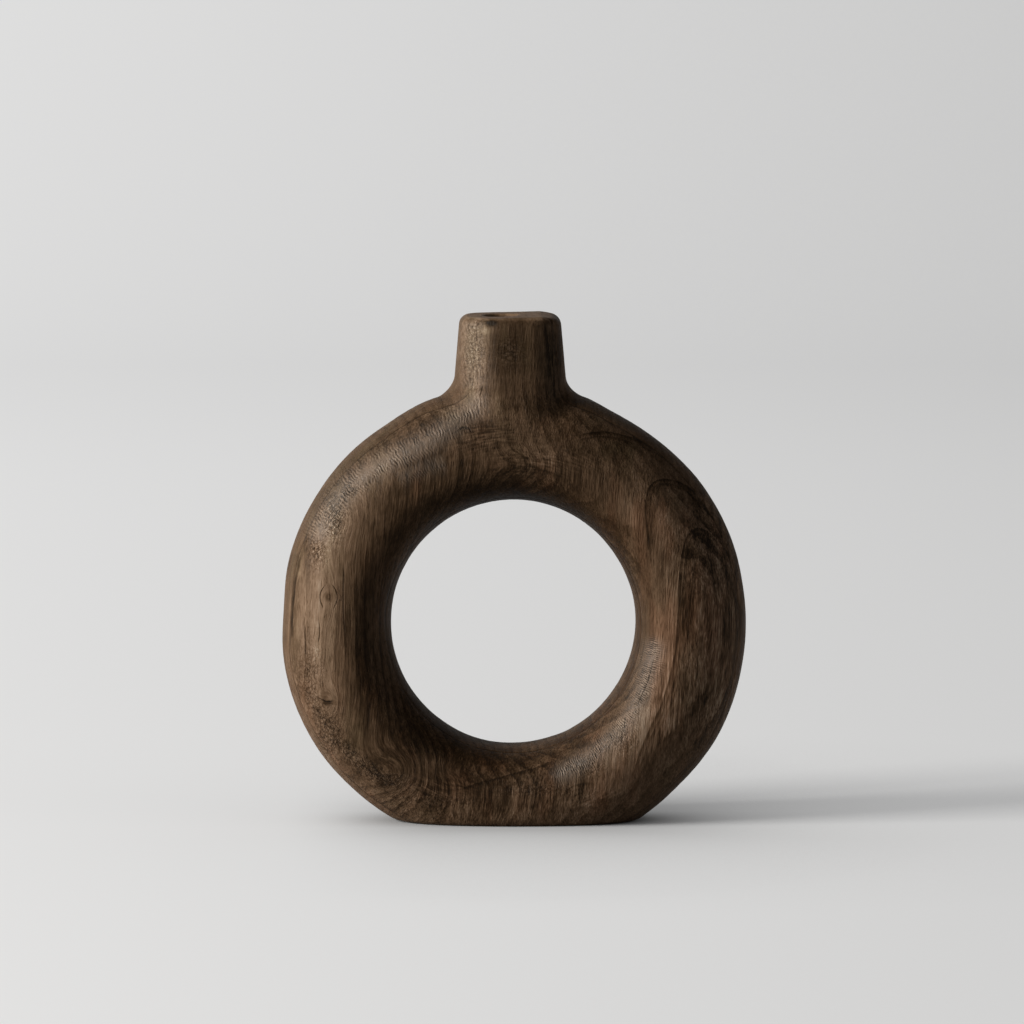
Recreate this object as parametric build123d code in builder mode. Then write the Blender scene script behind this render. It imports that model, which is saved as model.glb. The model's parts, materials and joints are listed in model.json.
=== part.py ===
from build123d import *
import os

# Donut vase: a carved wooden ring that stands on a flat foot and carries a short neck
# with a bore for one dried stem. It is carved from a blank of three boards glued face to
# face, and each board is a piece of its own here.
# Millimetres, +Z up, +X to the right and -Y to the front. The origin is on the surface
# that the vase stands on, under the middle of the ring.

# Ring
ring_outer_radius = 112.7
hole_radius = 59.2
ring_depth = 60.0
crown_share = 0.4  # place of the deepest line of the section, from the hole outwards

# Foot, a flat cut across the bottom of the ring
foot_cut = 15.3  # how far the cut lies inside the round outline of the ring
foot_edge_chamfer = 1.5

# Neck, which stands a little to the left of the middle of the ring
neck_rise = 36.7  # height of the rim above the top of the ring
neck_offset = -1.3
rim_width = 46.5
rim_depth = 38.0
rim_corner_radius = 13.0
rim_edge_chamfer = 1.8
shoulder_drop = 20.0  # how far the shoulder of the neck lies below the rim
shoulder_width = 51.6
shoulder_depth = 42.0
shoulder_corner_radius = 15.0
neck_base_width = 52.4
neck_base_depth = 45.0
neck_base_corner_radius = 16.0
neck_blend_radius = 6.0

# Boards of the blank: the core, and an outer board on each side of it
core_thickness = 30.0

# Stem bore, blind and wholly inside the core board
bore_diameter = 16.0
bore_depth = 70.0
bore_offset = -6.2
bore_mouth_diameter = 18.0
bore_mouth_angle = 90

# Worked out from the sizes above
half_depth = ring_depth / 2
half_core = core_thickness / 2
ring_centre_height = ring_outer_radius - foot_cut
vase_height = ring_centre_height + ring_outer_radius + neck_rise
crown_radius = hole_radius + crown_share * (ring_outer_radius - hole_radius)
outer_flank = ring_outer_radius - crown_radius
inner_flank = crown_radius - hole_radius
neck_root_height = ring_centre_height + crown_radius
ring_axis = Axis((0, 0, ring_centre_height), (0, 1, 0))
# Rounded rectangles of the neck, from its root inside the ring up to the rim
neck_sections = [
    (neck_root_height, neck_base_width, neck_base_depth, neck_base_corner_radius),
    (vase_height - shoulder_drop, shoulder_width, shoulder_depth, shoulder_corner_radius),
    (vase_height, rim_width, rim_depth, rim_corner_radius),
]

# Glue joints, parallel to the front of the vase
front_joint = Plane.XZ.offset(half_core)
back_joint = Plane.XZ.offset(-half_core)


def carved_form():
    """The outside form of the whole vase, as it is carved from the glued blank."""
    with BuildPart() as form:
        # The ring is an oval section that falls away more steeply towards the hole,
        # turned about the axis that runs from front to back through the hole.
        with BuildSketch(Plane.XY.offset(ring_centre_height)):
            with BuildLine():
                crown = (crown_radius, 0)
                EllipticalCenterArc(crown, outer_flank, half_depth, start_angle=-90, arc_size=180)
                EllipticalCenterArc(crown, inner_flank, half_depth, start_angle=90, arc_size=180)
            make_face()
        revolve(axis=ring_axis)

        # The neck rises from inside the top of the ring, nearly straight up to its
        # shoulder, and draws in from there to the rim.
        for height, width, depth, corner_radius in neck_sections:
            with BuildSketch(Plane.XY.offset(height)):
                with Locations((neck_offset, 0)):
                    RectangleRounded(width, depth, corner_radius)
        loft()

        # A hollow fillet leads the neck into the top of the ring.
        neck_joint = form.edges(Select.LAST).filter_by(
            lambda edge: neck_root_height < edge.bounding_box().max.Z < vase_height
        )
        fillet(neck_joint, neck_blend_radius)

        # The foot is a flat cut across the bottom of the ring.
        split(bisect_by=Plane.XY, keep=Keep.TOP)
        foot = form.faces().sort_by(Axis.Z)[0]
        chamfer(foot.edges(), foot_edge_chamfer)

        rim = form.faces().sort_by(Axis.Z)[-1]
        chamfer(rim.edges(), rim_edge_chamfer)
    return form.part


os.makedirs("parts", exist_ok=True)
vase = carved_form()

# Front board: everything in front of the front glue joint
with BuildPart() as front_board:
    add(vase)
    split(bisect_by=front_joint, keep=Keep.TOP)
front_board.part.label = "front_board"

# Core board: what lies between the two glue joints, with the stem bore in its neck
with BuildPart() as core_board:
    add(vase)
    split(bisect_by=front_joint, keep=Keep.BOTTOM)
    split(bisect_by=back_joint, keep=Keep.TOP)
    with Locations((bore_offset, 0, vase_height)):
        CounterSinkHole(
            bore_diameter / 2, bore_mouth_diameter / 2, depth=bore_depth, counter_sink_angle=bore_mouth_angle)
core_board.part.label = "core_board"

# Back board: everything behind the back glue joint
with BuildPart() as back_board:
    add(vase)
    split(bisect_by=back_joint, keep=Keep.BOTTOM)
back_board.part.label = "back_board"

export_step(front_board.part, "parts/front_board.step")
export_step(core_board.part, "parts/core_board.step")
export_step(back_board.part, "parts/back_board.step")
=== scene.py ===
import json
import math

import bmesh
import bpy
import numpy as np
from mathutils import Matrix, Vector


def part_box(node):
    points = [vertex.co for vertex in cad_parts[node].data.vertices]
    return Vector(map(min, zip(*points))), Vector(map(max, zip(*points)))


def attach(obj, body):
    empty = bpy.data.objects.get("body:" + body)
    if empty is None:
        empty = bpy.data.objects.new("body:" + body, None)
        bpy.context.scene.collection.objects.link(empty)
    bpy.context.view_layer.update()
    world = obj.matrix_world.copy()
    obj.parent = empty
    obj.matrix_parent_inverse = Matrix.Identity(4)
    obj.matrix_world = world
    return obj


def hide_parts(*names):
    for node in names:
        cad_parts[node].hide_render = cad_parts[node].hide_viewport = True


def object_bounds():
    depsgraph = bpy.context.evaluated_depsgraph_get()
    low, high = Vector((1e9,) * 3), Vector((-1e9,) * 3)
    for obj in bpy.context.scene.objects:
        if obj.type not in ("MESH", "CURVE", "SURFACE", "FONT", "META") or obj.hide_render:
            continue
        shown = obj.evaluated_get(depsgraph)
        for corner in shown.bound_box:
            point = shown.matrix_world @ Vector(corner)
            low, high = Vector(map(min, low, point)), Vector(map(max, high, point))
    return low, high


# Donut vase of dark stained wood. Three boards glued face to face are carved to a ring
# with a flat foot and a short neck. Lengths are in millimetres here and become metres
# where a mesh is made. Lamps and floor are in metres.
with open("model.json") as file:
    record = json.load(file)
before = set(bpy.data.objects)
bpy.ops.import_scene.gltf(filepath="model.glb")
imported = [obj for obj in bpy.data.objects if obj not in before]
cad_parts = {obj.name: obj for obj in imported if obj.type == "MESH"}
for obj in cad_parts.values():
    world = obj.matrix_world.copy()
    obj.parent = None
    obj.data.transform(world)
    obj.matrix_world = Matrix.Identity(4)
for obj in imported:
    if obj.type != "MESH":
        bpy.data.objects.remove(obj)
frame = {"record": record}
cad_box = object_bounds()

MM = 0.001

# Sizes that the CAD frame gives
core_low, core_high = (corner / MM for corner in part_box("core_board"))
VASE_HEIGHT = core_high.z
RING_RADIUS = (core_high.x - core_low.x) / 2
HALF_CORE = core_high.y
HALF_DEPTH = cad_box[1].y / MM
STEM_BORE = next(m for m in frame["record"]["mounts"] if m["name"] == "stem_bore")

# Ring
HOLE_RADIUS = 59.2
CENTRE_HEIGHT = 97.4
CROWN_SHARE = 0.4  # where the ring is deepest, from the hole to the outline
SECTION_POWER = 2.1
FOOT_ROUNDING = 1.8

# Places round the ring where the carver left a little more or less wood: angle, spread, height
OUTLINE_SWELLS = [(135, 30, 1.1), (177, 8, -1.2), (208, 22, 1.2), (300, 12, 1.5), (330, 22, 1.1),
                  (55, 12, -0.4), (110, 9, 1.9), (73, 6, 1.5)]
HOLE_SWELLS = [(250, 45, 1.3), (35, 15, -0.4)]

# Neck
NECK_HALF_DEPTH_RIM = 20.5
NECK_HALF_DEPTH_ROOT = 23.0
NECK_DEPTH_CHANGE = 200.0, 250.0  # heights between which it goes from one to the other
NECK_LEFT, NECK_TAPER_LEFT = -25.9, 0.095
NECK_RIGHT, NECK_TAPER_RIGHT = 22.5, 0.085
NECK_CORNER = 9.0
NECK_EDGE = 5.5  # rounding between the flat spots and the sides
NECK_ROOT = 15.0  # how far the neck reaches into the ring
NECK_BLEND_LEFT = 9.0
NECK_BLEND_RIGHT = 8.0
NECK_BLEND_CHANGE = 12.0  # how far to each side of the middle one blend becomes the other
BORE_MOUTH_ROUNDING = 1.2

# Flat spots of the neck: side, edge, slant and depth of cut
NECK_FLATS = [(-1, -26.0, math.radians(47), 9.6), (1, 24.2, math.radians(45), 6.4)]

# Rim, which falls a little towards both sides: side, where the fall starts, its length, its depth
RIM_FALLS = [(-1, 12.0, 45.0, 1.1), (1, 13.0, 10.0, 1.2)]
RIM_ROUNDING = 4.6
RIM_BELOW_CAD = 0.1

# Net over the form
GRID_STEP = 0.72
SETTLE_ROUNDS = 3
RELAX_ROUNDS = 2
RELAX_SHARE = 0.6  # how far a point goes each time to the middle of its neighbours
SLOPE_REACH = 0.05
LEAST_RISE = 0.05
CUT_TOLERANCE = 1e-7
TINY = 1e-6
FAR = 1e6

# Relief of the skin: tool marks, lifted grain, worn ridges and the line between two boards
LUMP_SIZES = [(22.0, 0.30), (9.0, 0.13)]
LUMP_STRETCH = 1.6  # how much longer the lumps are along the grain
LUMP_SEED = 40
GRAIN_RIDGE = 0.05
GRAIN_RIDGE_CELL = 1.5, 1.5, 18.0
GRAIN_RIDGE_SEED = 43
RIDGE_LIFT = 0.55  # how far the worn ridges stand out
RIDGE_LIFT_WIDTH_SHARE = 0.7
RIDGE_LIFT_ENDS = 0.2
SEAM_DEPTH = 0.16
SEAM_WIDTH = 0.55
FOOT_CALM = 0.0, 4.0  # heights above the foot over which the relief grows from nothing
BORE_CALM = 0.2, 3.0  # the same for distances from the bore
RIM_CALM = 4.0, 1.0  # depths below the top between which a share of it goes
RIM_CALM_SHARE = 0.6
RELIEF_FACING = 0.0, 0.3  # how far a place has to face the front to get the marks of the front

# Camera, which looks straight at the front from a little above
CAMERA_DISTANCE = 5000.0
CAMERA_HEIGHT = 684.0
CAMERA_AIM_HEIGHT = 150.4
CAMERA_SIDE = -0.8
CAMERA_CLIP = 0.1, 60.0  # metres
VIEW_WIDTH = 496.4  # what the picture spans at the ring, from side to side
SENSOR_WIDTH = 36.0
PIXELS = 1024  # every place named below as a pixel is one of a picture this wide

# Figure of the wood. Growth rings: place of the pith in x and y, its lean along z, spacing, seed
BOARD_FIGURE = {
    "front": ((74.0, 52.0), (0.06, -0.05), 4.9, 3),
    "core": ((-190.0, -38.0), (0.03, 0.02), 4.2, 11),
    "back": ((-62.0, -48.0), (-0.05, 0.04), 5.3, 23),
}
RING_WAVES = [(2.0, (24, 24, 70)), (0.7, (8, 8, 34))]  # how far they wander, in cells of which sizes
POLAR_RADIUS = 90.0  # where the way round the ring is measured
FIGURE_FACING = -0.1, 0.3  # how far a place has to face the front to get its figure

# Marks of the front, placed by pixel

# Knots and loops that bend the rings: pixel, spread in pixels, push in millimetres
BENDS = [
    ((395, 772), (26, 20), 13.0),  # loops, lower left
    ((331, 703), (9, 12), 5.0),  # round the pit, left
    ((330, 598), (7, 24), 3.4),  # round the small knot, left
    ((700, 600), (26, 60), 7.0),  # right flank
    ((460, 770), (30, 12), -4.0),  # below the hole
    ((520, 465), (26, 14), 6.0),  # above the hole
    ((345, 520), (16, 20), 4.0),  # upper left
]

# Pits and dents: pixel, spread in pixels, depth in millimetres
DENTS = [
    ((331, 704), (3.2, 2.2), 0.7),  # pit, left
    ((330, 598), (2.2, 2.6), 0.35),  # eye of the small knot
    ((459, 789), (2.4, 1.8), 0.5),  # pit, bottom
    ((385, 784), (5.0, 2.5), 0.3),  # crease, lower left
    ((465, 429), (3.0, 2.0), 0.3),  # nick left of the neck's root
    ((491, 324), (5.0, 2.6), 0.8),  # notch at the rim
]

# Dark growth lines of the front, and one band of painted shade on the neck, sharp on one side and fading over
# a reach on the other:
# name, path in pixels, reach in millimetres to the right of the way it runs, depth of tone
ARCHES = [
    ("arch_shoulder", [(574, 437), (590, 432), (606, 431), (625, 435), (645, 442), (664, 452),
                       (684, 466)], 6.0, 0.30),
    ("arch_middle", [(650, 560), (646, 530), (644, 503), (649, 485), (660, 478), (676, 480), (692, 488),
                     (704, 502), (714, 524)], 7.0, 0.34),
    ("arch_inner", [(628, 792), (636, 764), (648, 732), (661, 705), (670, 680), (677, 642), (679, 590),
                    (681, 555), (686, 535), (698, 526), (712, 534), (722, 549), (729, 575)], 10.0, 0.36),
    ("foot_line", [(452, 792), (474, 784), (500, 777), (535, 768), (560, 758)], 3.0, 0.22),
    ("foot_arch", [(565, 818), (562, 803), (565, 790), (580, 783), (596, 782)], 3.5, 0.20),
    ("hole_line", [(496, 478), (507, 470), (522, 465), (542, 468), (566, 478)], 4.0, 0.18),
    ("left_streak", [(303, 552), (297, 575), (294, 600), (292, 642)], 2.2, 0.30),
    ("neck_streak", [(545, 322), (548, 340), (550, 360), (552, 380)], 2.6, 0.34),
    # painted shade on the front of the neck, right of its lit corner
    ("neck_edge_painted_shade", [(483, 404), (486, 388), (488, 366), (489, 346), (492, 328)], 9.0, 0.15),
]
ARCH_ENDS = 0.15
ROW_SPACING = 2.1  # millimetres between the finer lines beside each of them

# Fine cracks and scratches, as paths in pixels
CRACKS = [
    # neck, right
    [(552, 352), (553, 368)], [(554, 373), (554, 388)], [(568, 402), (575, 404)],
    # neck, left
    [(483, 385), (480, 398)], [(466, 362), (463, 376)], [(472, 366), (470, 380)],
    # round the eye of the small knot
    [(327, 584), (321, 591), (320, 600), (324, 610)], [(331, 583), (337, 591), (338, 600), (333, 611)],
    # left of the hole
    [(319, 618), (320, 630), (319, 645)], [(344, 560), (343, 600), (345, 640)], [(305, 620), (306, 660)],
    # at the pit
    [(317, 697), (325, 702), (335, 701)],
    # right of the hole
    [(655, 655), (649, 680), (641, 698), (636, 709)], [(626, 716), (624, 733)], [(612, 690), (606, 706)],
    # left of the neck's root
    [(459, 431), (464, 427), (471, 430)], [(457, 432), (462, 427), (470, 428), (472, 434)],
]
CRACK_WIDTH = 0.46
CRACK_REACH = 2.2, 1.2  # distances at which a crack's values end and at which they are whole
CRACK_ENDS = 0.25

# Worn ridges with fine ripples across them, which also carry a painted grey sheen: path in pixels, half width
# in millimetres, strength
LIFTED_RIDGES = [
    ([(492, 392), (462, 416), (430, 440), (400, 455), (370, 470), (345, 490), (324, 522),
      (312, 550)], 5.5, 1.1),
    ([(658, 632), (651, 664), (639, 704), (625, 728), (597, 754), (548, 783)], 4.6, 1.25),
]
# Ripples and painted grey sheen without a lift: on the lit corner of the neck, and a painted highlight on the
# upper left
FLAT_RIDGES = [
    ([(474, 318), (474, 350), (476, 392)], 6.0, 0.55),
    ([(395, 478), (420, 468), (448, 462)], 4.5, 0.45),
]
RIPPLE_PERIOD = 1.3

# Places where the grain lies along the ring: pixel, spread in pixels, strength
CROSS_GRAIN = [
    ((488, 436), (36, 16), 0.75),  # below the neck
    ((540, 462), (46, 14), 0.75),  # above the hole
    ((400, 435), (22, 9), 0.6),  # upper left
    ((440, 790), (40, 14), 0.8),  # bottom, left
    ((600, 800), (35, 10), 0.6),  # bottom, right
]

# Rough places with a net of fine creases: pixel, spread in pixels, strength
ROUGH = [
    ((310, 670), (14, 30), 0.7),  # left
    ((333, 517), (11, 24), 1.7),  # on the worn ridge, upper left
    ((318, 552), (9, 16), 1.3),
    ((350, 490), (10, 9), 1.2),
    ((540, 790), (45, 8), 0.6),  # bottom
    ((440, 800), (40, 8), 0.5),
    ((390, 780), (18, 8), 0.8),  # lower left
    ((330, 735), (14, 26), 0.9),
    ((474, 350), (11, 36), 1.0),  # neck
    ((510, 352), (14, 15), 0.5),
    ((622, 738), (14, 18), 0.9),  # on the worn ridge, lower right
    ((590, 768), (18, 10), 0.8),
]

# The same along a path: pixels, half width in millimetres, strength
ROUGH_STRIPS = [
    ([(306, 676), (317, 712), (337, 742), (362, 766), (392, 785)], 4.2, 0.85),
    ([(652, 662), (639, 704), (626, 727), (598, 753), (560, 776)], 3.0, 0.8),
]
STRIP_ENDS = 0.1

# Places where the grain shows more strongly: pixel, spread in pixels, how much more
STREAKY = [
    ((716, 600), (30, 120), 1.6),  # right flank
    ((700, 700), (40, 50), 1.3),  # lower right
    ((554, 350), (12, 40), 0.8),  # neck, right
    ((380, 500), (40, 30), 0.3),  # upper left
    ((520, 465), (70, 22), 0.3),  # above the hole
    ((500, 800), (100, 20), 0.5),  # bottom
]

# Places where it shows less
CALM = [
    ((512, 350), (34, 44), 0.80),  # front of the neck
    ((500, 450), (50, 30), 0.45),  # below the neck
    ((600, 450), (50, 24), 0.25),  # right shoulder
    ((325, 640), (26, 60), 0.45),  # left
    ((375, 490), (46, 50), 0.50),  # upper left
    ((648, 600), (14, 60), 0.45),  # right of the hole
    ((590, 512), (45, 28), 0.50),  # upper right of the hole
    ((360, 740), (30, 30), 0.20),  # lower left
    ((330, 560), (30, 40), 0.25),  # left, above the small knot
]

# Paler or darker, redder or greyer places, some of them painted shade and some painted highlights, as marked:
# angle round the ring, spread, share from hole to outline, spread, tone, red
RING_PATCHES = [
    (200, 60, 0.25, 0.20, -0.23, 0.0),  # painted shade on the flank towards the hole, left
    (214, 34, 0.98, 0.09, 0.14, 0.2),  # outer band, lower left
    (30, 45, 0.06, 0.20, -0.18, 0.2),  # painted shade on the flank towards the hole, right
    (90, 38, 0.12, 0.26, -0.26, 0.1),  # painted shade on the wall of the hole below the neck
    (122, 26, 0.58, 0.35, -0.17, 0.1),  # upper left
    (300, 16, 0.12, 0.16, -0.13, 0.1),  # painted shade, lower right, by the hole
    (225, 18, 0.36, 0.14, -0.08, 0.0),  # lower left, in the middle
    (62, 14, 0.50, 0.26, -0.16, 0.0),  # upper right, towards the neck
    (82, 9, 0.90, 0.14, -0.28, 0.0),  # painted shadow of the neck, right of its root
    (270, 28, 0.15, 0.10, -0.16, 0.1),  # painted shade below the hole
    (282, 20, 0.60, 0.15, 0.08, 0.1),  # foot, right of the middle
    (232, 22, 0.45, 0.35, -0.16, 0.1),  # lower left
    (320, 24, 0.34, 0.14, 0.33, 0.1),  # worn crown, lower right, paler with a painted highlight
    (342, 36, 0.76, 0.25, 0.13, 0.1),  # outer half, right and lower right
    (36, 15, 0.50, 0.20, 0.08, 0.1),  # olive band, upper right
    (200, 18, 0.66, 0.16, 0.16, 0.0),  # crown, lower left
    (350, 30, 0.30, 0.12, -0.03, 0.7),  # reddish flank, right
    (40, 22, 0.48, 0.16, 0.10, 0.4),  # warm zone, upper right
    (150, 24, 0.72, 0.11, 0.21, -0.4),  # worn ridge, upper left, paler with a painted highlight
    (180, 20, 0.60, 0.18, 0.10, -0.2),  # crown, left
    (262, 30, 0.40, 0.25, -0.08, 0.3),  # bottom
    (315, 32, 0.02, 0.08, -0.15, 0.3),  # painted shade at the edge of the hole, lower right
    (160, 14, 0.60, 0.13, 0.10, -0.1),  # crown, upper left
    (180, 12, 0.80, 0.07, 0.12, 0.0),  # strip beside the left streak
    (180, 9, 0.40, 0.05, -0.10, 0.0),  # end of the lit face, left
    (303, 14, 0.62, 0.15, 0.11, 0.1),  # foot, right
    (322, 18, 0.98, 0.10, -0.12, 0.0),  # outer edge, lower right
    (350, 14, 0.28, 0.07, 0.08, 0.3),  # strip before the dark flank
    (262, 14, 0.11, 0.06, -0.14, 0.2),  # painted shade at the bottom of the hole
    (240, 13, 0.17, 0.09, -0.14, 0.0),  # painted shade on the flank towards the hole, lower left
    (90, 26, 0.02, 0.08, -0.13, 0.0),  # painted shade at the edge of the hole, top
    (40, 12, 0.38, 0.10, 0.05, 0.2),  # before the middle arch
    (318, 12, 0.50, 0.10, 0.12, 0.4),  # flank below the crown, lower right
    (345, 12, 0.14, 0.07, -0.14, 0.2),  # painted shade at the edge of the hole, right
    (0, 18, 0.50, 0.15, 0.08, 0.4),  # dark flank, right, redder
    (50, 16, 0.14, 0.08, -0.08, 0.0),  # painted shade at the edge of the hole, upper right
    (240, 14, 0.52, 0.18, 0.05, 0.0),  # skin, lower left
    (281, 12, 0.28, 0.08, -0.10, 0.1),  # foot, towards the hole
    (0, 14, 0.34, 0.09, 0.10, 0.4),  # lit strip, right
    (303, 10, 0.24, 0.08, -0.15, 0.2),  # flank of the crown, lower right
    (214, 14, 0.62, 0.14, -0.05, -0.4),  # olive skin, lower left
    (140, 30, 0.97, 0.12, -0.06, -0.6),  # outer band, upper left, more olive
]

# The same by pixel, some of them painted shade and some painted highlights, as marked: place, spread in
# pixels, tone, red
FRONT_PATCHES = [
    ((473, 348), (12, 34), 0.25, -1.0),  # pale worn corner of the neck, with painted light on its lit facet
    ((515, 352), (23, 38), -0.30, -0.6),  # dark front of the neck: its stain, deepened by painted shade
    ((556, 350), (12, 40), -0.08, -0.3),  # painted shade on the right side of the neck
    ((515, 440), (60, 16), -0.08, 0.1),  # below the neck
    ((610, 448), (38, 9), -0.08, -0.6),  # olive scratches under the shoulder line
    ((460, 424), (26, 7), -0.10, 0.2),  # purple-brown streak above the ridge
    ((329, 597), (2.9, 3.6), -0.60, 0.0),  # eye of a small knot and its paler middle
    ((329, 597), (1.3, 1.6), 0.50, 0.0),
    ((329, 703), (6.0, 2.4), -0.34, 0.0),  # painted shade in the pit
    ((384, 784), (9.0, 3.2), -0.24, 0.0),  # painted shade in the crease at the end of the worn strip
    ((491, 323), (5.0, 2.6), -0.75, -0.5),  # painted shade in the notch at the rim, and a painted highlight on the lip below it
    ((484, 331), (6.0, 3.6), 0.34, -1.0),
    ((400, 438), (16, 10), -0.10, 0.1),  # dark skin between ridge and outer band
    ((430, 424), (18, 9), -0.14, 0.1),
    ((428, 762), (20, 10), 0.20, -0.2),  # lit hollow, lower left
    ((538, 458), (20, 16), 0.08, 0.0),  # between neck and hole
    ((488, 404), (12, 16), 0.12, -0.3),  # root of the neck
    ((470, 398), (7, 13), 0.10, -0.8),  # painted highlight, silvery, where the ridge runs into the neck
    ((452, 418), (12, 7), 0.09, -0.8),
    ((716, 630), (16, 60), 0.06, 0.5),  # dark flank, right
]

# How much paler the top of the rim is, between which distances from the top,
# and painted shade: how much darker the wall of the hole is, most at the top of the ring
RIM_TONE = 0.22
RIM_TONE_BAND = 2.2, 1.0
HOLE_PAINTED_SHADE = 0.12
HOLE_PAINTED_SHADE_BAND = 0.12
HOLE_PAINTED_SHADE_SHARES = 0.6, 0.4  # all round, and more or less of it at the top and at the bottom


# Helpers of the form

def swell(angle, centre, width, height):
    """A soft bump of the given height round the ring, with its places in degrees."""
    off = (np.degrees(angle) - centre + 180.0) % 360.0 - 180.0
    return height * np.exp(-(off / width) ** 2)


def union_round(a, b, radius):
    inner = np.hypot(np.maximum(radius - a, 0), np.maximum(radius - b, 0))
    return np.maximum(radius, np.minimum(a, b)) - inner


def intersect_round(a, b, radius):
    outer = np.hypot(np.maximum(radius + a, 0), np.maximum(radius + b, 0))
    return np.minimum(-radius, np.maximum(a, b)) + outer


def ease(low, high, value):
    """0 below low, 1 above high and a smooth rise between them."""
    t = np.clip((value - low) / (high - low), 0, 1)
    return t * t * (3 - 2 * t)


# Form, as distances to its surface that are less than nothing inside it

def ring_field(x, y, z):
    """Distance to the ring, whose section is an oval that is steeper towards the hole."""
    from_centre = np.hypot(x, z - CENTRE_HEIGHT)
    angle = np.arctan2(z - CENTRE_HEIGHT, x)
    outline = RING_RADIUS + sum(swell(angle, *s) for s in OUTLINE_SWELLS)
    hole = HOLE_RADIUS + sum(swell(angle, *s) for s in HOLE_SWELLS)
    crown = HOLE_RADIUS + CROWN_SHARE * (RING_RADIUS - HOLE_RADIUS)
    across = from_centre - crown
    reach = np.where(across > 0, outline - crown, crown - hole)
    u = np.abs(across) / reach + TINY
    v = np.abs(y) / HALF_DEPTH + TINY
    p = SECTION_POWER
    size = (u ** p + v ** p) ** (1 / p)
    slope = size ** (1 - p) * np.hypot(u ** (p - 1) / reach, v ** (p - 1) / HALF_DEPTH)
    return (size - 1) / slope


def neck_bar(x, y, z):
    """Distance to the bar of the neck, with its flat spots at the front corners."""
    left = NECK_LEFT - NECK_TAPER_LEFT * (VASE_HEIGHT - z)
    right = NECK_RIGHT + NECK_TAPER_RIGHT * (VASE_HEIGHT - z)
    change = ease(*NECK_DEPTH_CHANGE, z)
    half_depth = NECK_HALF_DEPTH_ROOT + (NECK_HALF_DEPTH_RIM - NECK_HALF_DEPTH_ROOT) * change
    middle = (left + right) / 2
    half_width = (right - left) / 2
    qx = np.abs(x - middle) - (half_width - NECK_CORNER)
    qy = np.abs(y) - (half_depth - NECK_CORNER)
    bar = np.hypot(np.maximum(qx, 0), np.maximum(qy, 0)) + np.minimum(np.maximum(qx, qy), 0) - NECK_CORNER
    for side, edge, slant, cut in NECK_FLATS:
        flat = side * (x - edge) * math.sin(slant) - (y + half_depth) * math.cos(slant) + cut
        bar = intersect_round(bar, flat, NECK_EDGE)
    return bar


def neck_field(x, y, z):
    """Distance to the neck, from its root in the ring to its rim."""
    drop = sum(fall * np.clip(side * (x - start) / length, 0, 1) for side, start, length, fall in RIM_FALLS)
    rim = z - (VASE_HEIGHT - RIM_BELOW_CAD) + drop
    root = CENTRE_HEIGHT + RING_RADIUS - NECK_ROOT - z
    return np.maximum(intersect_round(neck_bar(x, y, z), rim, RIM_ROUNDING), root)


def bore_field(x, y, z):
    place_x, place_y, middle = (share / MM for share in STEM_BORE["pos_m"])
    bottom = middle - STEM_BORE["dims"]["length_mm"] / 2
    side = np.hypot(x - place_x, y - place_y) - STEM_BORE["dims"]["r_mm"]
    return np.maximum(side, bottom - z)


def vase_field(x, y, z):
    """Distance to the surface of the vase."""
    change = ease(NECK_BLEND_CHANGE, -NECK_BLEND_CHANGE, x)
    blend = NECK_BLEND_RIGHT + (NECK_BLEND_LEFT - NECK_BLEND_RIGHT) * change
    body = union_round(ring_field(x, y, z), neck_field(x, y, z), blend)
    body = intersect_round(body, -z, FOOT_ROUNDING)
    return intersect_round(body, -bore_field(x, y, z), BORE_MOUTH_ROUNDING)


def uphill(points):
    """Slope of the field at the points, by differences."""
    slope = np.empty_like(points)
    for axis in range(3):
        step = np.zeros(3)
        step[axis] = SLOPE_REACH
        slope[:, axis] = (vase_field(*(points + step).T) - vase_field(*(points - step).T)) / (2 * SLOPE_REACH)
    return slope


# Net over the form

def settle(points, rounds):
    """Moves the points onto the surface."""
    for _ in range(rounds):
        slope = uphill(points)
        rise = (slope ** 2).sum(1)
        points = points - slope * (vase_field(*points.T) / np.maximum(rise, LEAST_RISE))[:, None]
    return points


def inside_grid(low, high):
    """Whether each point of an even grid between two corners lies inside the vase."""
    across, depths, heights = (np.arange(low[i], high[i], GRID_STEP, dtype=np.float32) for i in range(3))
    y, z = np.meshgrid(depths, heights, indexing="ij")
    return np.array([vase_field(np.full_like(y, x), y, z) < 0 for x in across])


def crossing_faces(inside, number, axis):
    """A face for each step of the grid along one axis that goes through the surface."""
    place = np.argwhere(np.diff(inside, axis=axis))
    first, second = (axis + 1) % 3, (axis + 2) % 3
    corners = []
    for a, b in ((0, 0), (-1, 0), (-1, -1), (0, -1)):
        cell = place.copy()
        cell[:, first] += a
        cell[:, second] += b
        corners.append(number[tuple(cell.T)])
    faces = np.stack(corners, 1)
    entering = ~inside[tuple(place.T)]
    faces[entering] = faces[entering][:, ::-1]
    return faces


def skin():
    """Points and four-sided faces of an even net over the vase."""
    margin = 4 * GRID_STEP
    low = np.array([-RING_RADIUS, -HALF_DEPTH, 0.0]) - margin
    high = np.array([RING_RADIUS, HALF_DEPTH, VASE_HEIGHT]) + margin
    inside = inside_grid(low, high)
    corners = sum(inside[i:i - 1 or None, j:j - 1 or None, k:k - 1 or None].astype(np.int8)
                  for i in (0, 1) for j in (0, 1) for k in (0, 1))
    crossed = (corners > 0) & (corners < 8)
    number = np.full(crossed.shape, -1, np.int64)
    number[crossed] = np.arange(crossed.sum())
    points = low + (np.argwhere(crossed) + 0.5) * GRID_STEP
    return points, np.concatenate([crossing_faces(inside, number, axis) for axis in range(3)])


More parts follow.
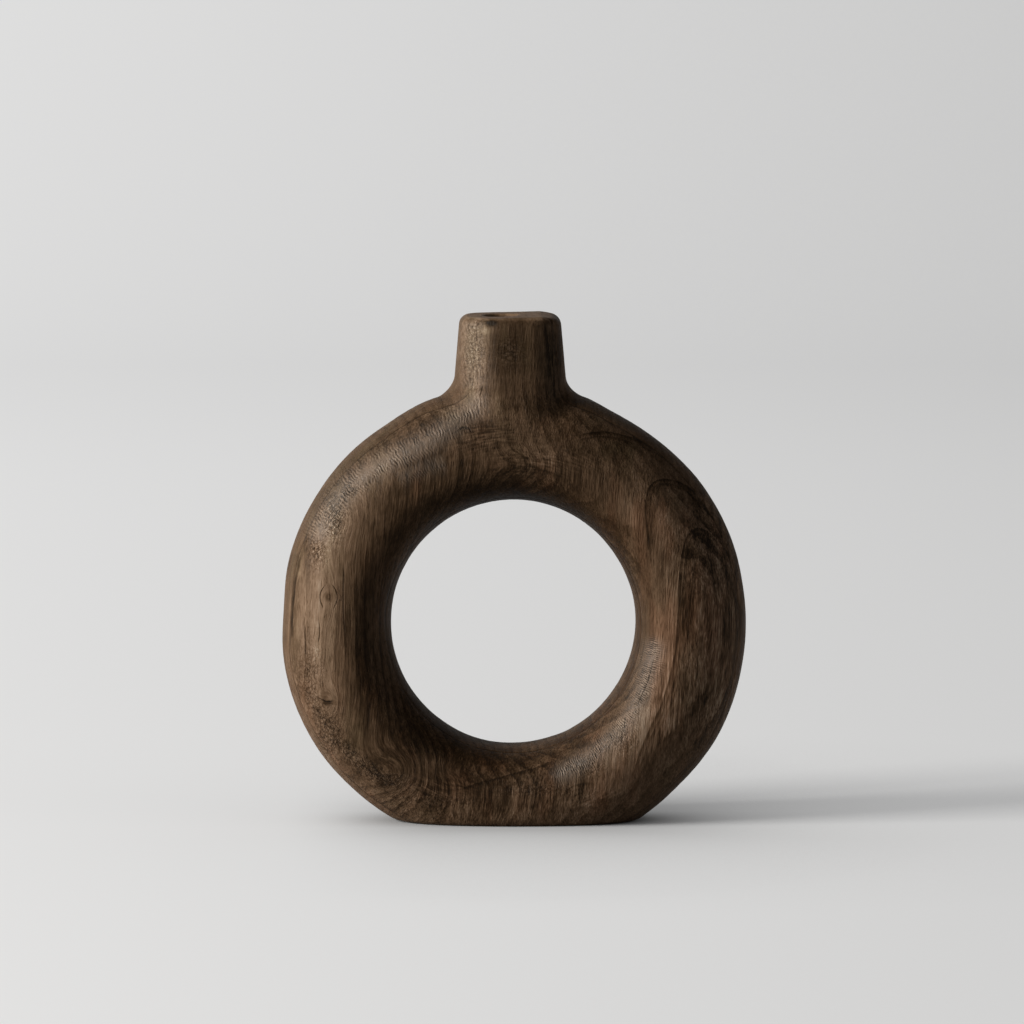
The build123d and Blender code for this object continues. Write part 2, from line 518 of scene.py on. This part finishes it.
def relax(points, faces, rounds):
    """Evens out the net and brings it back to the surface each time."""
    edges = np.concatenate([faces[:, [i, (i + 1) % 4]] for i in range(4)])
    start, end = edges[:, 0], edges[:, 1]
    count = np.bincount(start, minlength=len(points))[:, None]
    for _ in range(rounds):
        total = np.stack([np.bincount(start, points[end, i], len(points)) for i in range(3)], 1)
        points = settle((1 - RELAX_SHARE) * points + RELAX_SHARE * total / count, 1)
    return points


# Noise and places in the picture

# Odd numbers that turn a place into a value that looks random and is always the same
HASH_STEPS = 374761393, 668265263, 1274126177
HASH_SEED_STEP = 7919
HASH_TURN = 1103515245
SEED_SHIFT = 0.37  # how far a seed moves the lattice, in cells


def lattice_noise(points, cell, seed):
    """Smooth noise from -1 to 1 with cells of the given sizes along x, y and z."""
    place = points / np.asarray(cell, float) + SEED_SHIFT * seed
    corner = np.floor(place).astype(np.int64)
    share = place - corner
    share = share * share * (3 - 2 * share)
    total = np.zeros(len(points))
    for number in range(8):
        step = np.array([number & 1, number >> 1 & 1, number >> 2 & 1])
        key = (corner + step) @ np.array(HASH_STEPS) + seed * HASH_SEED_STEP
        key = ((key ^ (key >> 13)) & 0xFFFFFFF) * HASH_TURN & 0x7FFFFFFF
        value = ((key ^ (key >> 15)) & 0xFFFF) / 32767.5 - 1
        total += value * np.prod(np.where(step, share, 1 - share), 1)
    return total


def seen(points):
    """Pixels at which points show in the picture."""
    place = np.array([CAMERA_SIDE, -CAMERA_DISTANCE, CAMERA_HEIGHT])
    ahead = np.array([0, CAMERA_DISTANCE, CAMERA_AIM_HEIGHT - CAMERA_HEIGHT])
    far = np.linalg.norm(ahead)
    ahead = ahead / far
    up = np.array([0, -ahead[2], ahead[1]])
    off = points - place
    scale = far / VIEW_WIDTH * PIXELS / (off @ ahead)
    return PIXELS / 2 + off[:, 0] * scale, PIXELS / 2 - (off @ up) * scale


def spot(px, py, centre, spread):
    """1 at a pixel and less around it."""
    return np.exp(-((px - centre[0]) / spread[0]) ** 2 - ((py - centre[1]) / spread[1]) ** 2)


def rounded_path(path):
    """The path with its corners cut twice, at a quarter of their sides."""
    path = np.array(path, float)
    for _ in range(2):
        first, second = 0.75 * path[:-1] + 0.25 * path[1:], 0.25 * path[:-1] + 0.75 * path[1:]
        inner = np.stack([first, second], 1).reshape(-1, 2)
        path = np.concatenate([path[:1], inner[1:-1], path[-1:]])
    return path


def beside(px, py, path):
    """Distance in millimetres to a path, more than nothing to the right of its way, and the share
    of the way there."""
    path = rounded_path(path)
    lengths = np.linalg.norm(np.diff(path, axis=0), axis=1)
    start = np.concatenate([[0], np.cumsum(lengths)])
    best = np.full(len(px), FAR)
    share = np.zeros(len(px))
    for number, (a, b) in enumerate(zip(path[:-1], path[1:])):
        way = b - a
        t = np.clip(((px - a[0]) * way[0] + (py - a[1]) * way[1]) / (way @ way), 0, 1)
        dx, dy = px - a[0] - t * way[0], py - a[1] - t * way[1]
        off = np.hypot(dx, dy)
        near = off < np.abs(best)
        best = np.where(near, np.where(way[0] * dy - way[1] * dx < 0, -off, off), best)
        share = np.where(near, (start[number] + t * lengths[number]) / start[-1], share)
    return best * VIEW_WIDTH / PIXELS, share


def taper(share, ends):
    """1 along a path and less at its two ends, each a share of its length."""
    return ease(0, ends, share) * ease(1, 1 - ends, share)


def strip(weight, px, py, path, width, ends):
    """The weight on a path, and less beside it and at its ends."""
    off, share = beside(px, py, path)
    return weight * np.exp(-(off / width) ** 2) * taper(share, ends)


# Relief of the skin

def relief(points):
    """Lifts and lowers the skin by tool marks, lifted grain, pits, worn ridges and glue lines."""
    slope = uphill(points)
    normals = slope / np.linalg.norm(slope, axis=1)[:, None]
    rise = np.zeros(len(points))
    for number, (size, height) in enumerate(LUMP_SIZES):
        rise += height * lattice_noise(points, (size, size, size * LUMP_STRETCH), LUMP_SEED + number)
    rise += GRAIN_RIDGE * lattice_noise(points, GRAIN_RIDGE_CELL, GRAIN_RIDGE_SEED)
    px, py = seen(points)
    facing = ease(*RELIEF_FACING, -normals[:, 1])
    for centre, spread, depth in DENTS:
        rise -= depth * facing * spot(px, py, centre, spread)
    for path, width, _ in LIFTED_RIDGES:
        rise += strip(RIDGE_LIFT * facing, px, py, path, RIDGE_LIFT_WIDTH_SHARE * width, RIDGE_LIFT_ENDS)
    rise -= SEAM_DEPTH * np.exp(-((np.abs(points[:, 1]) - HALF_CORE) / SEAM_WIDTH) ** 2)
    x, y, z = points.T
    kept = ease(*FOOT_CALM, z) * ease(*BORE_CALM, np.abs(bore_field(x, y, z)))
    kept *= 1 - RIM_CALM_SHARE * ease(*(VASE_HEIGHT - below for below in RIM_CALM), z)
    return points + normals * (rise * kept)[:, None]


# Figure of the wood, kept as values on the points of each board

def grain_of(points, board, facing):
    """Distance to the pith with its bends, way round the pith and height, in millimetres."""
    (pith_x, pith_y), (lean_x, lean_y), _, seed = BOARD_FIGURE[board]
    x, y, z = points.T
    off_x = x - pith_x - lean_x * (z - CENTRE_HEIGHT)
    off_y = y - pith_y - lean_y * (z - CENTRE_HEIGHT)
    push = sum(height * lattice_noise(points, cell, seed + number)
               for number, (height, cell) in enumerate(RING_WAVES))
    if board == "front":
        px, py = seen(points)
        for centre, spread, height in BENDS:
            push = push + height * spot(px, py, centre, spread) * facing
    way = np.arctan2(off_y, off_x) * math.hypot(pith_x, pith_y)
    return np.hypot(off_x, off_y) + push, way, z


def tone_of(points, board, facing):
    """How much paler and how much redder the wood is at the points, painted shade and painted highlights
    included.
    """
    x, _, z = points.T
    angle = np.arctan2(z - CENTRE_HEIGHT, x)
    across = (np.hypot(x, z - CENTRE_HEIGHT) - HOLE_RADIUS) / (RING_RADIUS - HOLE_RADIUS)
    all_round, by_height = HOLE_PAINTED_SHADE_SHARES
    tone, red = np.zeros(len(points)), np.zeros(len(points))
    # painted shade on the wall of the hole, darker at the top of the ring
    tone -= HOLE_PAINTED_SHADE * ease(HOLE_PAINTED_SHADE_BAND, 0.0, across) * (all_round + by_height * np.sin(angle))
    tone += RIM_TONE * ease(*(VASE_HEIGHT - below for below in RIM_TONE_BAND), z)
    if board == "back":
        return tone, red
    for centre, spread, share, width, paler, redder in RING_PATCHES:
        weight = facing * swell(angle, centre, spread, 1.0) * np.exp(-((across - share) / width) ** 2)
        tone += paler * weight
        red += redder * weight
    px, py = seen(points)
    for centre, spread, paler, redder in FRONT_PATCHES:
        weight = facing * spot(px, py, centre, spread)
        tone += paler * weight
        red += redder * weight
    return tone, red


def strongest(px, py, facing, spots=(), strips=()):
    """The strongest of several soft spots and strips at each point."""
    most = np.zeros(len(px))
    for centre, spread, strength in spots:
        most = np.maximum(most, strength * facing * spot(px, py, centre, spread))
    for path, width, strength in strips:
        most = np.maximum(most, strip(strength * facing, px, py, path, width, STRIP_ENDS))
    return most


def wear_of(points, board, facing):
    """Strength of the grain, and ripple, roughness and cross grain of the wood at the points."""
    if board == "back":
        return np.zeros((4, len(points)))
    px, py = seen(points)
    strong = strongest(px, py, facing, STREAKY)
    for centre, spread, strength in CALM:
        strong -= strength * facing * spot(px, py, centre, spread)
    ripple = strongest(px, py, facing, strips=LIFTED_RIDGES + FLAT_RIDGES)
    rough = strongest(px, py, facing, ROUGH, ROUGH_STRIPS)
    return strong, ripple, rough, strongest(px, py, facing, CROSS_GRAIN)


def put(mesh, name, *values):
    """Stores two or three values for each point of a mesh."""
    rows = np.zeros((len(mesh.vertices), 3), np.float32)
    rows[:, :len(values)] = np.stack(values, 1)
    mesh.attributes.new(name, "FLOAT_VECTOR", "POINT").data.foreach_set("vector", rows.ravel())


def put_cracks(mesh, px, py, facing):
    """Stores the distance to the nearest crack and how far it shows."""
    nearest, shown = np.full(len(px), FAR), np.zeros(len(px))
    for path in CRACKS:
        off, share = beside(px, py, path)
        closer = np.abs(off) < np.abs(nearest)
        nearest = np.where(closer, off, nearest)
        shown = np.where(closer, taper(share, CRACK_ENDS) * facing * ease(*CRACK_REACH, np.abs(off)), shown)
    put(mesh, "crack", nearest, shown)


def draw_figure(mesh, board):
    """Stores on a board's mesh what its material reads."""
    points, normals = np.empty(len(mesh.vertices) * 3), np.empty(len(mesh.vertices) * 3)
    mesh.vertices.foreach_get("co", points)
    mesh.vertices.foreach_get("normal", normals)
    points = points.reshape(-1, 3) / MM
    facing = ease(*FIGURE_FACING, -normals.reshape(-1, 3)[:, 1])
    x, y, z = points.T
    way_round = np.arctan2(z - CENTRE_HEIGHT, x) * POLAR_RADIUS
    tone, red = tone_of(points, board, facing)
    strong, ripple, rough, cross = wear_of(points, board, facing)
    put(mesh, "grain", *grain_of(points, board, facing))
    put(mesh, "polar", way_round, np.hypot(x, z - CENTRE_HEIGHT), y)
    put(mesh, "look", tone, red, strong)
    put(mesh, "wear", ripple, rough, cross)
    if board == "front":
        px, py = seen(points)
        for name, path, _, _ in ARCHES:
            off, share = beside(px, py, path)
            put(mesh, name, off, facing * taper(share, ARCH_ENDS))
        put_cracks(mesh, px, py, facing)


# Objects and camera

def add_object(name, data):
    made = bpy.data.objects.new(name, data)
    bpy.context.scene.collection.objects.link(made)
    return made


def add_camera():
    camera = add_object("camera", bpy.data.cameras.new("camera"))
    bpy.context.scene.camera = camera
    place = Vector((CAMERA_SIDE, -CAMERA_DISTANCE, CAMERA_HEIGHT))
    aim = Vector((CAMERA_SIDE, 0, CAMERA_AIM_HEIGHT))
    camera.location = place * MM
    camera.rotation_euler = (aim - place).to_track_quat("-Z", "Y").to_euler()
    camera.data.sensor_width = SENSOR_WIDTH
    camera.data.lens = SENSOR_WIDTH * (aim - place).length / VIEW_WIDTH
    camera.data.clip_start, camera.data.clip_end = CAMERA_CLIP


# Light

# Lamps: degrees from the front to the left of the picture, height, distance, size, strength, colour
LAMPS = {
    "key_light": (70, 1.02, 2.6, (1.1, 1.2), 131, (1.0, 0.985, 0.96)),
    "fill_light": (-74, 0.8, 3.0, (2.0, 1.6), 11, (1.0, 1.0, 1.0)),
}
LAMP_AIM = Vector((0, 0, 0.12))
ROOM_LIGHT = 0.03


def add_lamp(name, azimuth, height, distance, size, strength, colour):
    """A soft lamp aimed at the ring."""
    lamp = bpy.data.lights.new(name, "AREA")
    lamp.shape = "RECTANGLE"
    lamp.size, lamp.size_y = size
    lamp.energy = strength
    lamp.color = colour
    made = add_object(name, lamp)
    turn = math.radians(azimuth)
    made.location = (-math.sin(turn) * distance, -math.cos(turn) * distance, height)
    made.rotation_euler = (LAMP_AIM - made.location).to_track_quat("-Z", "Y").to_euler()


def add_room():
    """An even white light from all sides."""
    world = bpy.data.worlds.new("room")
    bpy.context.scene.world = world
    world.use_nodes = True
    background = world.node_tree.nodes["Background"]
    background.inputs["Color"].default_value = (1, 1, 1, 1)
    background.inputs["Strength"].default_value = ROOM_LIGHT


# Materials

class Shade:
    """Node tree of one material. Inputs take other outputs or plain values."""

    def __init__(self, name):
        self.material = bpy.data.materials.new(name)
        self.material.use_nodes = True
        self.tree = self.material.node_tree
        self.shader = self.tree.nodes["Principled BSDF"]
        self.surface = self.tree.nodes["Material Output"].inputs["Surface"]

    def feed(self, socket, value):
        if isinstance(value, bpy.types.NodeSocket):
            self.tree.links.new(value, socket)
        else:
            socket.default_value = value

    def node(self, kind, inputs, **settings):
        made = self.tree.nodes.new("ShaderNode" + kind)
        for key, value in settings.items():
            setattr(made, key, value)
        for socket, value in inputs.items():
            self.feed(made.inputs[socket], value)
        return made

    def math(self, operation, *values):
        return self.node("Math", dict(enumerate(values)), operation=operation).outputs[0]

    def vector(self, operation, *values):
        return self.node("VectorMath", dict(enumerate(values)), operation=operation).outputs[0]

    def total(self, first, *parts):
        """A value plus each part times its share."""
        for part, share in parts:
            first = self.math("MULTIPLY_ADD", part, share, first)
        return first

    def blend(self, first, signs, shares):
        """A value plus each named sign times the share that is given for it."""
        return self.total(first, *((signs[name], share) for name, share in shares.items()))

    def product(self, first, *others):
        for other in others:
            first = self.math("MULTIPLY", first, other)
        return first

    def span(self, value, low, high, start=0.0, end=1.0):
        """Start below low, end above high and a smooth change between them."""
        inputs = {"Value": value, "From Min": low, "From Max": high, "To Min": start, "To Max": end}
        return self.node("MapRange", inputs, interpolation_type="SMOOTHSTEP").outputs[0]

    def stored(self, name):
        """The three values that a mesh keeps under a name."""
        return self.parts(self.stored_vector(name))

    def stored_vector(self, name):
        return self.node("Attribute", {}, attribute_name=name).outputs["Vector"]

    def parts(self, vector):
        return self.node("SeparateXYZ", {0: vector}).outputs

    def noise(self, vector, cell, detail, roughness, shift):
        """Noise around nothing, with cells of the given sizes along the three parts of a vector."""
        sized = self.vector("MULTIPLY", vector, [1 / c for c in cell])
        moved = self.vector("ADD", sized, [shift] * 3)
        inputs = {"Vector": moved, "Scale": 1.0, "Detail": detail, "Roughness": roughness}
        made = self.node("TexNoise", inputs, noise_dimensions="3D").outputs["Fac"]
        return self.math("SUBTRACT", made, 0.5)

    def net(self, vector, cell, bend):
        """1 on the bent lines between uneven cells of the given sizes and 0 inside them."""
        stir = self.node("TexNoise", {"Vector": vector, "Scale": 0.5, "Detail": 1.0}).outputs["Color"]
        bent = self.vector("MULTIPLY_ADD", stir, [bend] * 3, vector)
        sized = self.vector("MULTIPLY", bent, [1 / c for c in cell])
        made = self.node("TexVoronoi", {"Vector": sized, "Scale": 1.0}, feature="DISTANCE_TO_EDGE")
        return self.span(made.outputs["Distance"], *CREASE_LINE, 1.0, 0.0)

    def ramp(self, value, stops):
        made = self.node("ValToRGB", {0: value})
        points = made.color_ramp.elements
        while len(points) < len(stops):
            points.new(0.5)
        for point, (place, colour) in zip(points, stops):
            point.position = place
            point.color = (*colour, 1)
        return made.outputs[0]

    def mix(self, share, first, second, blend="MIX"):
        made = self.node("Mix", {}, data_type="RGBA", blend_type=blend)
        self.feed(made.inputs[0], share)
        self.feed(made.inputs[6], first)
        self.feed(made.inputs[7], second)
        return made.outputs[2]


# Floor, in metres
FLOOR_COLOUR = (0.37, 0.37, 0.37)  # as the camera sees it, besides its glow
FLOOR_BOUNCE = (0.24, 0.24, 0.235)  # as it lights the vase
FLOOR_GLOW = 0.430, 0.553  # its strength in front and at the back
GLOW_SLOPE = -0.03, -0.15  # how it changes over a metre to the right, in front and at the back
GLOW_DEPTH = -0.5, 1.9  # what is in front and what at the back
CONTACT_DARKNESS = 0.3, 1.7  # left of the vase, where the lamp reaches under the ring, and right of it
CONTACT_SIDES = -0.12, -0.03
CONTACT_REACH = 0.3
FLOOR_FRONT, FLOOR_BEND_START, FLOOR_BEND_RADIUS = -6.0, 2.4, 1.6
FLOOR_BEND_STEPS = 24
BACKDROP_TOP = 6.0
FLOOR_HALF_WIDTH = 6.0


def floor_material():
    """Pale paint that glows for the camera and is duller for the light that it sends to the vase."""
    shade = Shade("floor")
    side, depth, _ = shade.parts(shade.node("TexCoord", {}).outputs["Object"])
    hidden = shade.node("AmbientOcclusion", {"Distance": CONTACT_REACH}).outputs["AO"]
    near = shade.math("POWER", hidden, shade.span(side, *CONTACT_SIDES, *CONTACT_DARKNESS))
    light, slope = (shade.span(depth, *GLOW_DEPTH, *ends) for ends in (FLOOR_GLOW, GLOW_SLOPE))
    light = shade.product(shade.total(light, (side, slope)), near)
    glow = shade.node("Emission", {"Color": (1, 1, 1, 1), "Strength": light})
    coat = shade.node("BsdfDiffuse", {"Color": (*FLOOR_COLOUR, 1)})
    both = shade.node("AddShader", {0: glow.outputs[0], 1: coat.outputs[0]})
    dull = shade.node("BsdfDiffuse", {"Color": (*FLOOR_BOUNCE, 1)})
    ray = shade.node("LightPath", {}).outputs
    direct = shade.math("MAXIMUM", ray["Is Camera Ray"], ray["Is Glossy Ray"])
    direct = shade.math("MAXIMUM", direct, ray["Is Transmission Ray"])
    pick = shade.node("MixShader", {0: direct, 1: dull.outputs[0], 2: both.outputs[0]})
    shade.feed(shade.surface, pick.outputs[0])
    return shade.material


def add_stage():
    """A pale floor that curves up into a backdrop."""
    rows = [(FLOOR_FRONT, 0.0), (FLOOR_BEND_START, 0.0)]
    for i in range(1, FLOOR_BEND_STEPS + 1):
        turn = math.radians(90) * i / FLOOR_BEND_STEPS
        rows.append((FLOOR_BEND_START + FLOOR_BEND_RADIUS * math.sin(turn),
                     FLOOR_BEND_RADIUS - FLOOR_BEND_RADIUS * math.cos(turn)))
    rows.append((rows[-1][0], BACKDROP_TOP))
    mesh = bpy.data.meshes.new("floor")
    points = [(side, y, z) for y, z in rows for side in (-FLOOR_HALF_WIDTH, FLOOR_HALF_WIDTH)]
    faces = [(2 * i, 2 * i + 1, 2 * i + 3, 2 * i + 2) for i in range(len(rows) - 1)]
    mesh.from_pydata(points, [], faces)
    mesh.shade_smooth()
    floor = add_object("floor", mesh)
    mesh.materials.append(floor_material())


# Wood

# Noises: field they lie in, size of their cells along its three parts in millimetres, detail,
# roughness, seed. The field grain is what grain_of gives, and polar runs round the ring, away
# from its middle and in depth.
NOISES = {
    "hair": ("grain", (0.6, 0.6, 6.0), 2.0, 0.6, 0),
    "fibre": ("grain", (1.1, 1.1, 17.0), 3.0, 0.55, 5),
    "strand": ("grain", (2.4, 2.4, 46.0), 2.0, 0.5, 9),
    "streak": ("grain", (6.5, 6.5, 120.0), 2.0, 0.5, 14),
    "patch": ("grain", (13.0, 13.0, 34.0), 2.0, 0.5, 19),
    "fleck": ("grain", (0.6, 0.6, 5.0), 1.0, 0.5, 27),
    "hue": ("grain", (9.0, 9.0, 40.0), 2.0, 0.5, 33),
    "blotch": ("polar", (9.0, 5.0, 5.0), 2.0, 0.55, 41),
    "drift": ("polar", (5.0, 3.5, 3.5), 2.0, 0.5, 0),
    "ripple_noise": ("polar", (1.0, 5.0, 5.0), 2.0, 0.6, 0),
    "ripple_gaps": ("polar", (8.0, 5.0, 8.0), 2.0, 0.5, 3),
    "speck": ("polar", (1.7, 1.4, 1.4), 2.0, 0.6, 6),
    "lying_noise": ("polar", (6.5, 1.0, 4.0), 3.0, 0.6, 8),
}
CREASE_CELL, CREASE_BEND = (2.1, 1.5, 1.5), 2.4
CREASE_LINE = 0.02, 0.22  # share of a cell where a crease starts to fade and where it has gone

# How far noises move the lines, in rings for the growth lines and in millimetres for the others
GROWTH_WANDER = {"strand": 0.35}
ARCH_WANDER = {"strand": 1.2, "fibre": 0.5}
CRACK_WANDER = {"fleck": 0.8}
GLUE_WANDER = {"fibre": 0.5}

# Fades: where a sign starts to change and where it ends, then its strength before and after
GROWTH_DARKENS, GROWTH_ENDS = (0.25, 0.93), (0.93, 1.0, 1.0, 0.0)
GROWTH_FADE = -0.18, 0.12, 0.25, 1.0
PORE_SIZE, PORE_FADE = (0.10, 0.19), (-0.1, 0.1, 0.3, 1.0)
RIPPLE_FADE = -0.1, 0.08, 0.15, 1.0
ARCH_EDGE, ARCH_BAND_START = (-0.45, 0.1), 0.2
ROW_FADE = 0.15, 0.85, 1.0, 0.45
GLUE_WIDTH, GLUE_FADE = (0.05, 0.8), (-0.15, 0.1, 0.3, 1.0)

# Ripples: how far they wander as an angle, and what wave and noise add to them
RIPPLE_WANDER, RIPPLE_WAVE, RIPPLE_NOISE = 14.0, 0.09, 0.4

# What each sign of the wood adds to its fine grain, its tone, the height of its skin in
# millimetres, its roughness, and how far it greys where its stain is brushed off and where a grey sheen is
# painted on the worn ridges
GRAIN_SHARES = {"hair": 0.66, "fibre": 0.48, "strand": 0.30, "streak": 0.42, "pores": -0.13, "line": -0.17}
TONE_SHARES = {"fine": 1.0, "patch": 0.34, "blotch": 0.26, "ripples": 2.8, "pitting": 1.1, "creases": -0.26,
               "lying": 1.5, "rough": 0.06, "ripple": 0.05}
HEIGHT_SHARES = {"hair": 0.18, "fibre": 0.36, "strand": 0.20, "pores": -0.10, "ripples": 0.95,
                 "pitting": 0.60, "creases": -0.16, "lying": 0.80, "line": 0.05, "dark": -0.25,
                 "crack": -0.3}
GLOSS_SHARES = {"ripple": -0.20, "rough": -0.08, "fibre": 0.25, "pores": 0.2}
WORN_AND_SHEEN_SHARES = {"ripple": 0.26, "rough": 0.06, "ripples": 1.2, "creases": -0.10}
HUE_SHARE = 2.4
CRACK_TONE = 0.32
SEAM_TONE = 0.20
ROUGHNESS = 0.58
SPECULAR_LEVEL = 0.07

# Stain from its darkest to its palest, by tone
STAIN = [(0.0, (0.0130, 0.0066, 0.0024)), (0.22, (0.037, 0.0202, 0.0092)), (0.5, (0.104, 0.0618, 0.0345)),
         (0.75, (0.194, 0.125, 0.078)), (1.0, (0.33, 0.243, 0.172))]
WORN_AND_SHEEN_COLOUR = (0.27, 0.225, 0.185, 1)  # greyer, where the stain is brushed off, and the painted grey sheen of the worn ridges
WARM_TINT, COOL_TINT = (1.14, 0.90, 0.80, 1), (0.92, 1.04, 0.97, 1)
TINT_SHARE = 0.55

# Each board's tone and how strongly its grain shows
BOARD_TONE = {"front": (0.50, 1.0), "core": (0.48, 0.6), "back": (0.48, 1.0)}


def growth_lines(shade, wood, spacing):
    """Lines that darken slowly away from the pith and end at once."""
    place = shade.blend(shade.math("DIVIDE", wood["from_pith"], spacing), wood, GROWTH_WANDER)
    turn = shade.math("FRACT", place)
    return shade.product(shade.span(turn, *GROWTH_DARKENS), shade.span(turn, *GROWTH_ENDS),
                         shade.span(wood["patch"], *GROWTH_FADE))


def ripples_across(shade, wood):
    """Fine ripples across the worn ridges, with gaps."""
    angle = shade.math("MULTIPLY", wood["way_round"], 2 * math.pi / RIPPLE_PERIOD)
    wave = shade.math("SINE", shade.total(angle, (wood["drift"], RIPPLE_WANDER)))
    wave = shade.total(shade.math("MULTIPLY", wave, RIPPLE_WAVE), (wood["ripple_noise"], RIPPLE_NOISE))
    return shade.product(wave, wood["ripple"], shade.span(wood["ripple_gaps"], *RIPPLE_FADE))


def arch_lines(shade, wood):
    """Darkness of the growth lines drawn on the front, each with finer lines beside it, and of the band of
    painted shade on the neck.
    """
    dark = 0.0
    for name, _, reach, depth in ARCHES:
        off, shown, _ = shade.stored(name)
        off = shade.blend(off, wood, ARCH_WANDER)
        row = shade.span(shade.math("FRACT", shade.math("DIVIDE", off, ROW_SPACING)), *ROW_FADE)
        sides = shade.span(off, *ARCH_EDGE), shade.span(off, ARCH_BAND_START, reach, 1.0, 0.0)
        dark = shade.total(dark, (shade.product(*sides, row, shown), depth))
    return dark


def crack_lines(shade, wood):
    off, shown, _ = shade.stored("crack")
    off = shade.math("ABSOLUTE", shade.blend(off, wood, CRACK_WANDER))
    return shade.product(shade.span(off, 0.0, CRACK_WIDTH, 1.0, 0.0), shown)


def glue_lines(shade, wood):
    """Thin dark lines where two boards meet, stronger in some places."""
    off = shade.math("SUBTRACT", shade.math("ABSOLUTE", wood["depth"]), HALF_CORE)
    off = shade.math("ABSOLUTE", shade.blend(off, wood, GLUE_WANDER))
    return shade.product(shade.span(off, *GLUE_WIDTH, 1.0, 0.0), shade.span(wood["patch"], *GLUE_FADE))


def wood_signs(shade, board):
    """Everything that the look of the wood is blended from, by name."""
    spacing, seed = BOARD_FIGURE[board][2:]
    fields = {name: shade.stored_vector(name) for name in ("grain", "polar")}
    wood = {name: shade.noise(fields[field], cell, detail, roughness, seed + own)
            for name, (field, cell, detail, roughness, own) in NOISES.items()}
    wood["from_pith"] = shade.parts(fields["grain"])[0]
    wood["way_round"], _, wood["depth"] = shade.parts(fields["polar"])
    wood["tone"], wood["red"], wood["strong"] = shade.stored("look")
    wood["ripple"], wood["rough"], wood["cross"] = shade.stored("wear")
    wood["pores"] = shade.product(shade.span(wood["fleck"], *PORE_SIZE),
                                  shade.span(wood["patch"], *PORE_FADE))
    wood["line"] = growth_lines(shade, wood, spacing)
    wood["ripples"] = ripples_across(shade, wood)
    wood["pitting"] = shade.product(wood["speck"], wood["rough"])
    wood["creases"] = shade.product(shade.net(fields["polar"], CREASE_CELL, CREASE_BEND), wood["rough"])
    wood["lying"] = shade.product(wood["lying_noise"], wood["cross"])
    wood["crack"], wood["dark"] = 0.0, 0.0
    if board == "front":
        wood["crack"] = crack_lines(shade, wood)
        wood["dark"] = shade.total(arch_lines(shade, wood), (wood["crack"], CRACK_TONE))
    wood["dark"] = shade.total(wood["dark"], (glue_lines(shade, wood), SEAM_TONE))
    return wood


def wood_colour(shade, wood, base, streaks):
    """Stain by its tone, warmer or cooler by place, and greyer where it is worn and where a grey sheen is
    painted.
    """
    fine = shade.blend(0.0, wood, GRAIN_SHARES)
    wood["fine"] = shade.product(fine, shade.math("ADD", wood["strong"], streaks))
    value = shade.blend(shade.math("ADD", wood["tone"], base), wood, TONE_SHARES)
    colour = shade.ramp(shade.math("SUBTRACT", value, wood["dark"]), STAIN)
    hue = shade.total(wood["red"], (wood["hue"], HUE_SHARE))
    colour = shade.mix(shade.span(hue, 0.0, 1.0, 0.0, TINT_SHARE), colour, WARM_TINT, "MULTIPLY")
    colour = shade.mix(shade.span(hue, -1.0, 0.0, TINT_SHARE, 0.0), colour, COOL_TINT, "MULTIPLY")
    # grey from wear, and a painted grey sheen on the worn ridges
    worn = shade.math("MAXIMUM", shade.blend(0.0, wood, WORN_AND_SHEEN_SHARES), 0.0)
    return shade.mix(worn, colour, WORN_AND_SHEEN_COLOUR)


def wood_material(board):
    """Brushed, dark stained wood: lifted fibres, pores, growth lines, drawn lines and worn places, with
    painted shade, painted highlights and a painted grey sheen in its colour.
    """
    shade = Shade("walnut_stained_" + board)
    wood = wood_signs(shade, board)
    height = shade.blend(0.0, wood, HEIGHT_SHARES)
    bump = shade.node("Bump", {"Strength": 1.0, "Distance": MM, "Height": height}).outputs[0]
    shade.feed(shade.shader.inputs["Base Color"], wood_colour(shade, wood, *BOARD_TONE[board]))
    shade.feed(shade.shader.inputs["Roughness"], shade.blend(ROUGHNESS, wood, GLOSS_SHARES))
    shade.feed(shade.shader.inputs["Specular IOR Level"], SPECULAR_LEVEL)
    shade.feed(shade.shader.inputs["Normal"], bump)
    return shade.material


# Boards

def cut_flat(form, depth, clear_front):
    """Cuts the form at a depth, clears one side and closes the other with a flat glue face."""
    geometry = form.verts[:] + form.edges[:] + form.faces[:]
    cut = bmesh.ops.bisect_plane(form, geom=geometry, dist=CUT_TOLERANCE, plane_co=(0, depth * MM, 0),
                                 plane_no=(0, 1, 0), clear_inner=clear_front,
                                 clear_outer=not clear_front)
    rim = [e for e in cut["geom_cut"] if isinstance(e, bmesh.types.BMEdge)]
    bmesh.ops.triangle_fill(form, use_beauty=False, use_dissolve=False, edges=rim)
    for edge in rim:
        edge.smooth = False


def add_board(name, points, faces, front, back):
    """The part of the carved form between two depths, or up to its surface where one is None."""
    mesh = bpy.data.meshes.new(name + "_board_carved")
    mesh.from_pydata((points * MM).tolist(), [], faces.tolist())
    form = bmesh.new()
    form.from_mesh(mesh)
    if front is not None:
        cut_flat(form, front, True)
    if back is not None:
        cut_flat(form, back, False)
    bmesh.ops.recalc_face_normals(form, faces=form.faces)
    form.to_mesh(mesh)
    form.free()
    mesh.shade_smooth()
    draw_figure(mesh, name)
    made = add_object(mesh.name, mesh)
    mesh.materials.append(wood_material(name))
    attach(made, "root")
    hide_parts(name + "_board")


def carve():
    """Points and faces of the whole carved form."""
    points, faces = skin()
    points = settle(points.astype(np.float64), SETTLE_ROUNDS)
    return relief(relax(points, faces, RELAX_ROUNDS)), faces


bpy.context.scene.view_settings.view_transform = "Standard"
add_camera()
for lamp_name, settings in LAMPS.items():
    add_lamp(lamp_name, *settings)
add_room()
add_stage()
carved = carve()
add_board("front", *carved, None, -HALF_CORE)
add_board("core", *carved, -HALF_CORE, HALF_CORE)
add_board("back", *carved, HALF_CORE, None)
